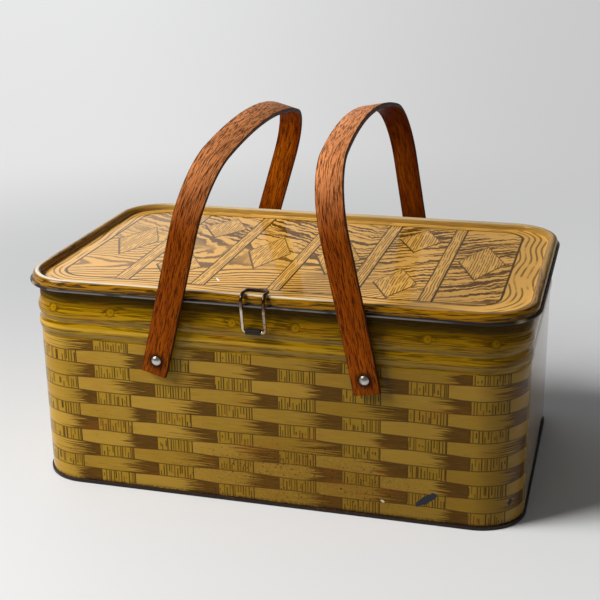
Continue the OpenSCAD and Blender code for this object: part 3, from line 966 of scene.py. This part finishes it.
def lid_rim(finish, around, across):
    """The colour of the rolled rim: grain, a painted highlight along the crown and painted light round the
    sides and back.
    """
    sway = finish.noise(around * 0.012, across * 0.08, 2.0, detail=1)
    grain = finish.noise(around * 0.02 + across * 0.06, across * 0.40 + sway * 3.0, detail=3, roughness=0.6)
    lines = abs(grain - 0.5).ramp(0.06, 0.015).most(grain.ramp(0.56, 0.66) * 0.8)
    at_back = abs(around).ramp(*BACK_ZONE)
    # Painted highlight: a pale line along the crown, strongest on the front left, with a thinner one at the
    # back.
    painted_highlight = (across + at_back * BACK_WIDER).ramp(*HIGHLIGHT_FROM)
    painted_highlight = painted_highlight * (across + (sway - 0.5) * 2).ramp(*HIGHLIGHT_TO)
    highlight_span = around.ramp(*HIGHLIGHT_RIGHT_END) * around.ramp(*HIGHLIGHT_LEFT_END)
    return finish.paint(
        RIM_PALE,
        (RIM_GRAIN, lines * 0.9),
        # Painted light: the rim is paler round the sides and back.
        (RIM_LIT_PALE, abs(around).ramp(*PALE_LIT_ZONE) * 0.45),
        (RIM_PAINTED_HIGHLIGHT, painted_highlight * (highlight_span * 0.66 + at_back * 0.3 + 0.08)),
    )


def printed_lid():
    """The whole print of the lid, with its varnish."""
    finish = Finish("printed_lid")
    x, y = finish.in_space()[:2]
    around, across = finish.on_sheet()
    rim = lid_rim(finish, around, across)
    colour = finish.paint(lid_panel(finish, x, y), (rim, across.ramp(*RIM_START)))
    waves = finish.noise(x * 0.02, y * 0.02, detail=2)
    finish.wear(Base_Color=colour, Roughness=0.5, Specular_IOR_Level=0.0)
    finish.varnish()
    finish.wear(Coat_Weight=1 - x.ramp(*THINNER_COAT) * 0.4, Coat_Roughness=0.085)
    finish.bump(waves, 1.0, 0.5)
    return finish.material


print("rubbed line across the rim, mm:", HIGHLIGHT_FROM[0], "to", HIGHLIGHT_TO[0])

# %% [markdown]
# ## The lid
#
# The panel lies lower than the rim, which is rolled over like a half tube and drops to a skirt. The skirt's
# edge is curled outwards over a wire, so the hem shows the unprinted back of the sheet, dark, with a painted
# highlight. Two gaps are cut in the hem at the back, where the hinge straps reach round the wire.

# %% Press the lid
PANEL_TOP = 145.3 * MM
PANEL_EDGE = 7 * MM
PANEL_FILLET = 0.8 * MM
FILLET_STEPS = 6
CROWN_AT = (0, 146.6 * MM)
CROWN = 3.3 * MM
CROWN_STEPS = 22
NOTCH_TOP = 145.2 * MM
HEM_AT = (3.95 * MM, 143.55 * MM)
HEM_WIRE = 0.65 * MM
HEM_CURL = (180, 440)
HEM_STEPS = 16


lid_section = [
    (-PANEL_EDGE, PANEL_TOP),
    *arc((-CROWN - PANEL_FILLET, PANEL_TOP + PANEL_FILLET), PANEL_FILLET, -90, 0, FILLET_STEPS),
    *arc(CROWN_AT, CROWN, 180, 0, CROWN_STEPS),
    (CROWN, NOTCH_TOP),
    *arc(HEM_AT, HEM_WIRE, *HEM_CURL, HEM_STEPS),
]
lid = bend_round("lid", lid_section)
fill_middle(lid, PANEL_TOP, -PANEL_EDGE + MM)
face_outwards(lid, Vector((0, 0, PANEL_TOP)), Vector((0, 0, 1)))
print("points in the lid's section:", len(lid_section))

# %% Cut the notches and print the lid
NOTCH_MIDDLE = 24 * MM
NOTCH_HALF = 8.5 * MM


def across_lid(place):
    """Distance across the rolled rim, from the top of its inner side outwards."""
    out = out_from_wall(place)
    if place.z >= CROWN_AT[1]:
        return (math.pi - math.atan2(place.z - CROWN_AT[1], out)) * CROWN
    drop = CROWN_AT[1] - place.z
    return math.pi * CROWN + drop if out > 0 else min(out + CROWN, 0) - drop


def on_back_skirt(place):
    return place.y > HALF_DEPTH + CROWN - MM and place.z < CROWN_AT[1]


for middle in (-NOTCH_MIDDLE, NOTCH_MIDDLE):
    for cut in (middle - NOTCH_HALF, middle + NOTCH_HALF):
        pick(lid, "polygons", on_back_skirt)
        bpy.ops.mesh.bisect(plane_co=(cut, 0, 0), plane_no=(1, 0, 0))
        leave()


def in_notch(place):
    return place.y > HALF_DEPTH and place.z < NOTCH_TOP and abs(abs(place.x) - NOTCH_MIDDLE) < NOTCH_HALF


pick(lid, "polygons", in_notch)
bpy.ops.mesh.delete(type="FACE")
leave()
lid.data.materials.append(printed_lid())
lid.data.materials.append(worn_hem())
modify(lid, "SOLIDIFY", thickness=SHEET, offset=-1, material_offset=1)
lay_flat(lid, across_lid)
finish_piece(lid, "lid", "lid_shell")

# %% [markdown]
# ## The handles
#
# Each handle is one strip of wood, steamed and bent. It stands straight where it is riveted, splays a little
# up the leg, turns over a tight shoulder and crosses in a shallow arch. The arcs meet without a kink, so
# their centres follow from the radii. The same plan tells each point its place in the straight strip, which
# the grain needs.

# %% Plan the bend
STRIP_THICK = 3.2 * MM
STRIP_MID = 107.7 * MM
TAIL_BELOW = 10 * MM
TAIL_ABOVE = 8 * MM
TAIL_BEND = 40 * MM
SPLAY = math.radians(4.8)
SHOULDER = 46 * MM - STRIP_THICK / 2
ARCH = 340 * MM - STRIP_THICK / 2
ARCH_HEIGHT = 153.4 * MM
LEG_RUN = 87.35 * MM

leg_way = Vector((math.sin(SPLAY), math.cos(SPLAY)))
leg_inward = Vector((-leg_way.y, leg_way.x))
leg_root = Vector((STRIP_MID, TAIL_ABOVE))
bend_run = TAIL_BEND * math.tan(SPLAY / 2)
bend_at = Vector((STRIP_MID + TAIL_BEND, TAIL_ABOVE - bend_run))
shoulder_at = leg_root + LEG_RUN * leg_way + SHOULDER * leg_inward
arch_at = Vector((0, ARCH_HEIGHT - ARCH - STRIP_THICK / 2))
arch_from = math.atan2(shoulder_at.y - arch_at.y, shoulder_at.x - arch_at.x)
to_shoulder = TAIL_BELOW + TAIL_ABOVE + LEG_RUN
to_arch = to_shoulder + (arch_from + SPLAY) * SHOULDER
to_middle = to_arch + (math.pi / 2 - arch_from) * ARCH


def along_strip(out, up):
    """Place in the bent strip of a point beside the pivot: along it, and through it."""
    from_arch = Vector((out, up)) - arch_at
    from_shoulder = Vector((out, up)) - shoulder_at
    arch_angle = math.atan2(from_arch.y, from_arch.x)
    shoulder_angle = math.atan2(from_shoulder.y, from_shoulder.x)
    if arch_angle >= arch_from:
        return to_arch + (arch_angle - arch_from) * ARCH, from_arch.length - ARCH
    if shoulder_angle >= -SPLAY:
        return to_shoulder + (shoulder_angle + SPLAY) * SHOULDER, from_shoulder.length - SHOULDER
    from_root = Vector((out, up)) - leg_root
    if up > TAIL_ABOVE:
        return TAIL_BELOW + TAIL_ABOVE + from_root.dot(leg_way), -from_root.dot(leg_inward)
    return TAIL_BELOW + up, out - STRIP_MID


print("length of a strip, mm:", round(2 * to_middle / MM, 1))

# %% [markdown]
# ## The wood
#
# The grain runs with the strip round every bend, so it is drawn on the place in the straight strip. Broad
# noise makes the figure and short noise the open pores. The arch is paler on top as a painted sheen, the sawn
# edges are dark, and dirt has gathered round the rivets. The inside of one back leg is darker as painted
# shade.

# %% Mix the wood
WOOD_BROWN = ink(132, 59, 2)
WOOD_ORANGE = ink(172, 90, 10)
WOOD_PAINTED_SHEEN = ink(236, 154, 96)
WOOD_STREAK = ink(96, 38, 4)
WOOD_PORE = ink(44, 15, 2)
WOOD_PAINTED_SHADE = ink(60, 18, 0)
WOOD_DIRT = ink(26, 11, 4)
WOOD_SAWN = ink(50, 31, 21)
ARCH_SHEEN_FROM = 100.0
ARCH_SHEEN_FULL = 165.0
DIRT_RING = (8.0, 3.4)
SAWN_EDGE = (8.2, 8.8)


def bent_wood(name, stain_and_shade):
    """Varnished wood, with painted shade on the inside of the back leg."""
    finish = Finish(name)
    along, across, through = finish.along_grain()
    broad = finish.noise(along * 0.012, across * 0.10, through * 0.2, detail=3, roughness=0.6)
    pores = finish.noise(along * 0.10, across * 1.4, through * 1.1, detail=3, roughness=0.7)
    fine = finish.noise(along * 0.2, across * 3.5, through * 3.0, detail=2)
    half = to_middle / MM
    from_middle = abs(along - half)
    # Painted sheen: the outer face of the arch is paler on top.
    top = from_middle.ramp(half - ARCH_SHEEN_FROM, half - ARCH_SHEEN_FULL) * through.ramp(0.0, 1.4)
    # Painted shade on the inner face of the back leg, by a share given for each handle.
    shaded_leg = along.ramp(half, to_arch / MM) * through.ramp(1.0, -1.0) * stain_and_shade
    rivet = hypotenuse(abs(from_middle - (to_middle - TAIL_BELOW) / MM), across)
    colour = finish.paint(
        WOOD_BROWN,
        (WOOD_ORANGE, broad.ramp(0.42, 0.68)),
        (WOOD_PAINTED_SHEEN, top * (broad * 0.9 + 0.3).least(0.9)),
        (WOOD_STREAK, fine.ramp(0.5, 0.7) * 0.6),
        (WOOD_PORE, pores.ramp(0.47, 0.6) * 0.85),
        (WOOD_PAINTED_SHADE, shaded_leg),
        (WOOD_DIRT, (rivet + (broad - 0.5) * 8).ramp(*DIRT_RING) * 0.85),
        (WOOD_SAWN, abs(across).ramp(*SAWN_EDGE) * 0.85),
    )
    finish.wear(Base_Color=colour, Roughness=pores * 0.3 + 0.3, Specular_IOR_Level=0.03)
    finish.bump(pores * -0.6 + fine * 0.2, 0.25, 0.5)
    return finish.material


print("worn from, mm along the strip:", ARCH_SHEEN_FROM)

# %% [markdown]
# ## Bending the strips
#
# A strip could follow a curve, but half a handle is modelled here as it was bent: the cut end is drawn once
# as a plane with rounded corners, extruded and spun along the plan, and the half is mirrored. Only then is it
# leaned over, as it stands at rest.

# %% Bend the handles
STRIP_WIDTH = 18 * MM
STRIP_EDGE = 0.55 * MM
BEND_STEPS = 4
SHOULDER_STEPS = 32
ARCH_STEPS = 12
END_EDGE = 0.4 * MM
LEFT_LEAN = math.radians(15.6)
RIGHT_LEAN = math.radians(-10.4)
# Shares of painted shade on the inside of each back leg.
LEFT_LEG_SHADE = 0.0
RIGHT_LEG_SHADE = 0.6
AROUND_X = (1, 0, 0)
pivots = {joint["name"]: Vector(joint["pos_m"]) for joint in frame["joints"]}


def bend_handle(name, node, joint, lean, stain_and_shade):
    """One handle, on the body that has the name of its node."""
    pivot = pivots[joint]
    bpy.ops.mesh.primitive_plane_add(size=1, location=(pivot.x, STRIP_MID, pivot.z - TAIL_BELOW))
    handle = bpy.context.object
    handle.name = handle.data.name = name
    handle.scale = (STRIP_WIDTH, STRIP_THICK, 1)
    bpy.ops.object.transform_apply(location=True, rotation=True, scale=True)
    edit(handle)
    bpy.ops.mesh.bevel(offset=STRIP_EDGE, segments=3, affect="VERTICES")
    extrude(z=TAIL_BELOW + bend_at.y)
    bpy.ops.mesh.spin(steps=BEND_STEPS, angle=SPLAY, axis=AROUND_X,
                      center=(pivot.x, bend_at.x, pivot.z + bend_at.y))
    leg = (LEG_RUN - bend_run) * leg_way
    extrude(y=leg.x, z=leg.y)
    bpy.ops.mesh.spin(steps=SHOULDER_STEPS, angle=-arch_from - SPLAY, axis=AROUND_X,
                      center=(pivot.x, shoulder_at.x, pivot.z + shoulder_at.y))
    bpy.ops.mesh.spin(steps=ARCH_STEPS, angle=arch_from - math.pi / 2, axis=AROUND_X,
                      center=(pivot.x, arch_at.x, pivot.z + arch_at.y))
    bpy.ops.mesh.delete(type="ONLY_FACE")
    leave()
    pick(handle, "polygons", lambda place: place.z < pivot.z - TAIL_BELOW + HAIR)
    bpy.ops.mesh.bevel(offset=END_EDGE, segments=2, affect="EDGES")
    leave()
    modify(handle, "MIRROR", use_axis=(False, True, False), merge_threshold=HAIR)
    grain = handle.data.attributes.new("grain", "FLOAT_VECTOR", "POINT")
    for vertex in handle.data.vertices:
        along, through = along_strip(abs(vertex.co.y), vertex.co.z - pivot.z)
        along = along if vertex.co.y > 0 else 2 * to_middle - along
        across = vertex.co.x - pivot.x
        grain.data[vertex.index].vector = Vector((along, across, through)) / MM
    edit(handle)
    bpy.ops.mesh.normals_make_consistent(inside=False)
    bpy.ops.transform.rotate(value=-lean, orient_axis="Y", center_override=pivot)
    leave()
    handle.data.materials.append(bent_wood(name + "_wood", stain_and_shade))
    finish_piece(handle, node, node, angle=50)
    top = max(vertex.co.z for vertex in handle.data.vertices)
    node_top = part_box(node)[1].z
    print("top of", name, "and of its node, mm:", round(top / MM, 2), round(node_top / MM, 2))


bend_handle("handle_left", "left_handle", "left_handle_swing", LEFT_LEAN, LEFT_LEG_SHADE)
bend_handle("handle_right", "right_handle", "right_handle_swing", RIGHT_LEAN, RIGHT_LEG_SHADE)

# %% [markdown]
# ## Wire, rivets and straps
#
# The straps, the rivets with their spacers and burrs, and the wires in the rim and the hem already have their
# real shape in the frame, so they only need a finish: steel with a little tarnish for the wires and rivets,
# and dark tin for the straps. The latch wire, which comes next, takes the same steel, brown with painted
# shade at its top.

# %% Finish the small metal
STEEL_BROWN_SHADE = ink(78, 48, 26)
RIVET_BRIGHT = ink(206, 202, 196)
RIVET_DULL = ink(120, 112, 102)
WIRE_BRIGHT = ink(206, 192, 172)
WIRE_DULL = ink(132, 108, 80)
STRAP_DARK = ink(44, 41, 38)
BROWN_SHADE_RUN = 6


def bare_steel(name, bright, dull, roughness=0.1, brown_shade_from=None):
    """Steel that is dull in patches and, if a height in millimetres is given, brown with painted shade above
    it.
    """
    finish = Finish(name)
    x, y, z = finish.in_space()
    tarnish = finish.noise(x * 0.12, y * 0.12, z * 0.12, detail=2)
    colour = finish.paint(bright, (dull, tarnish.ramp(0.4, 0.65)))
    if brown_shade_from:
        # Brown with painted shade: the wire is darker above the given height.
        colour = finish.paint(colour, (STEEL_BROWN_SHADE, z.ramp(brown_shade_from - BROWN_SHADE_RUN, brown_shade_from) * 0.85))
    finish.wear(Base_Color=colour, Metallic=1.0, Roughness=tarnish * 0.25 + roughness)
    return finish.material


rivet_steel = bare_steel("rivet_steel", RIVET_BRIGHT, RIVET_DULL, roughness=0.24)
wire_steel = bare_steel("wire_steel", WIRE_BRIGHT, WIRE_DULL)
strap_tin = dark_tin("strap_tin", STRAP_DARK, 0.05)
SMALL_METAL = {"strap": strap_tin, "wire": wire_steel, "rivet": rivet_steel, "spacer": rivet_steel,
               "burr": rivet_steel}
finished = 0
for name, node in frame["nodes"].items():
    for word, material in SMALL_METAL.items():
        if word in name:
            node.data.materials.clear()
            node.data.materials.append(material)
            finished += 1
print("small pieces finished:", finished)

# %% [markdown]
# ## The latch wire
#
# The latch is one closed loop of spring wire. It turns in the strap, leans out past the hem and curls back
# over the rim. A wire is quickest drawn as a chain of edges along its middle; turned into a curve it takes a
# round bevel, and turned back it is a mesh again.

# %% Bend the latch wire
LATCH_MIDDLE = -4.4 * MM
LATCH_HALF = 7.5 * MM
LATCH_WIRE = 1.15 * MM
FOOT_CORNER = 2.2 * MM
HOOK_CORNER = 2.4 * MM
LEG_LEAN = math.radians(10.2)
LEG_RISE = 19.2 * MM
HOOK_BEND = 5.5 * MM
BAR_IN = 9.6 * MM
BAR_UP = 25.0 * MM
TURN_STEPS = 6
HOOK_STEPS = 12
LATCH_BROWN_SHADE_FROM = 145

hook_at = (HOOK_BEND * math.cos(LEG_LEAN) - LEG_RISE * math.tan(LEG_LEAN),
           LEG_RISE + HOOK_BEND * math.sin(LEG_LEAN))
half_loop = [(0, 0, 0)]
for aside, up in arc((LATCH_HALF - FOOT_CORNER, FOOT_CORNER), FOOT_CORNER, -90, 0, TURN_STEPS):
    half_loop.append((aside, -up * math.tan(LEG_LEAN), up))
for inward, up in arc(hook_at, HOOK_BEND, 180 + math.degrees(LEG_LEAN), 90, HOOK_STEPS):
    half_loop.append((LATCH_HALF, inward, up))
for aside, inward in arc((LATCH_HALF - HOOK_CORNER, BAR_IN - HOOK_CORNER), HOOK_CORNER, 0, 90, TURN_STEPS):
    half_loop.append((aside, inward, BAR_UP))
half_loop.append((0, BAR_IN, BAR_UP))
other_half = [(-aside, inward, up) for aside, inward, up in reversed(half_loop)]
latch_at = Vector((LATCH_MIDDLE, *pivots["latch_swing"].yz))
latch = draw_line("latch_wire", [latch_at + Vector(place) for place in half_loop + other_half[1:]])
edit(latch)
bpy.ops.mesh.remove_doubles(threshold=HAIR)
leave()
bpy.ops.object.convert(target="CURVE")
latch.data.bevel_depth = LATCH_WIRE
latch.data.bevel_resolution = 4
bpy.ops.object.convert(target="MESH")
latch.data.materials.append(bare_steel("loop_steel", WIRE_BRIGHT, WIRE_DULL, brown_shade_from=LATCH_BROWN_SHADE_FROM))
finish_piece(latch, "latch", "latch_loop", angle=60)

# %% [markdown]
# ## The stage
#
# The box stands on a wide sheet of graduated paper, a common studio backdrop. Near the box it is darker at
# the end by the light, so that the light's fall-off doesn't show, and it keeps the box's shadow. Further off
# it glows, only for the camera and for mirror images, and a little less towards the right.

# %% Lay the paper
FLOOR_SIZE = 60
PAPER_DARK = (0.62, 0.62, 0.62, 1)
PAPER_PALE = (0.88, 0.88, 0.88, 1)
BACKDROP = 0.74
FALL_OFF = 0.24
NEAR = 320.0
FAR = 1100.0
PAPER_RUN = (-500.0, 600.0)
FALL_BEARING = (-0.5, 0.0)
FALL_DEPTH = (-300.0, 200.0)
BLACK = (0, 0, 0, 1)
WHITE = (1, 1, 1, 1)
bpy.ops.mesh.primitive_plane_add(size=FLOOR_SIZE)
floor = bpy.context.object
floor.name = "floor"
paper = Finish("graduated_paper")
paper_x, paper_y = paper.in_space()[:2]
rays = paper.node("ShaderNodeLightPath").outputs
seen = Field(paper.tree, rays["Is Camera Ray"]).most(Field(paper.tree, rays["Is Glossy Ray"]))
far_off = hypotenuse(paper_x, paper_y).ramp(NEAR, FAR) * seen
shade = paper.paint(PAPER_DARK, (PAPER_PALE, paper_x.ramp(*PAPER_RUN)), (BLACK, far_off))
bearing = (paper_x - CAMERA_AT.x / MM) / (paper_y - CAMERA_AT.y / MM)
behind = paper_y.ramp(*FALL_DEPTH)
glow = (1 - bearing.ramp(*FALL_BEARING) * behind * FALL_OFF) * BACKDROP
paper.wear(Base_Color=shade, Roughness=0.6, Specular_IOR_Level=0.2, Emission_Color=WHITE,
           Emission_Strength=far_off * glow)
floor.data.materials.append(paper.material)
print("floor, m:", FLOOR_SIZE)

# %% [markdown]
# ## Light
#
# Two soft lights do the work. Broad daylight is a sun with a wide angle, from the upper left. A window lamp
# stands near on the left and in front, so the front falls off to the right and the lid shades the neck. The
# lamp is left out of mirror images, because its small bright square would show in the varnish. The room is
# dim, apart from a pale card behind on the left, which the varnish mirrors at low angles.

# %% Dim the room
DIM_ROOM = 0.12
PALE_CARD = 0.8
CARD_LEFT = (0.05, -0.5)
CARD_BACK = (-0.2, 0.3)
CARD_TOP = (0.75, 0.35)
COOL_WHITE = (0.95, 0.97, 1.0, 1)
world = bpy.data.worlds.new("studio")
bpy.context.scene.world = world
world.use_nodes = True
sky = world.node_tree
background = sky.nodes["Background"]
facing = sky.nodes.new("ShaderNodeSeparateXYZ")
sky.links.new(sky.nodes.new("ShaderNodeTexCoord").outputs["Generated"], facing.inputs[0])
to_right, to_back, to_top = (Field(sky, output) for output in facing.outputs)
card_glow = to_right.ramp(*CARD_LEFT) * to_back.ramp(*CARD_BACK) * to_top.ramp(*CARD_TOP)
rays = sky.nodes.new("ShaderNodeLightPath").outputs
backdrop = Field(sky, rays["Is Camera Ray"]) * BACKDROP
background.inputs["Color"].default_value = COOL_WHITE
feed(sky, (card_glow * PALE_CARD + DIM_ROOM).most(backdrop), background.inputs["Strength"])
print("room:", DIM_ROOM, "card:", PALE_CARD)

# %% Aim the lights
DAYLIGHT_FROM = (-0.63, -0.27, 0.73)
DAYLIGHT_POWER = 2.15
DAYLIGHT_ANGLE = math.radians(24)
WINDOW_AT = (-0.60, -0.50, 0.60)
WINDOW_POWER = 5.8
WINDOW_SIZE = 0.36


def aim_light(kind, name, place, power, mirrored=True, **settings):
    """A light that shines from a place towards the origin, and may be left out of mirror images."""
    bpy.ops.object.light_add(type=kind, location=place)
    light = bpy.context.object
    light.name = name
    light.data.energy = power
    light.visible_glossy = mirrored
    light.rotation_euler = Vector(place).to_track_quat("Z", "Y").to_euler()
    for setting, value in settings.items():
        setattr(light.data, setting, value)
    print(name, power)


aim_light("SUN", "daylight", DAYLIGHT_FROM, DAYLIGHT_POWER, angle=DAYLIGHT_ANGLE)
aim_light("AREA", "window", WINDOW_AT, WINDOW_POWER, mirrored=False, size=WINDOW_SIZE)
bpy.context.scene.view_settings.view_transform = "Standard"
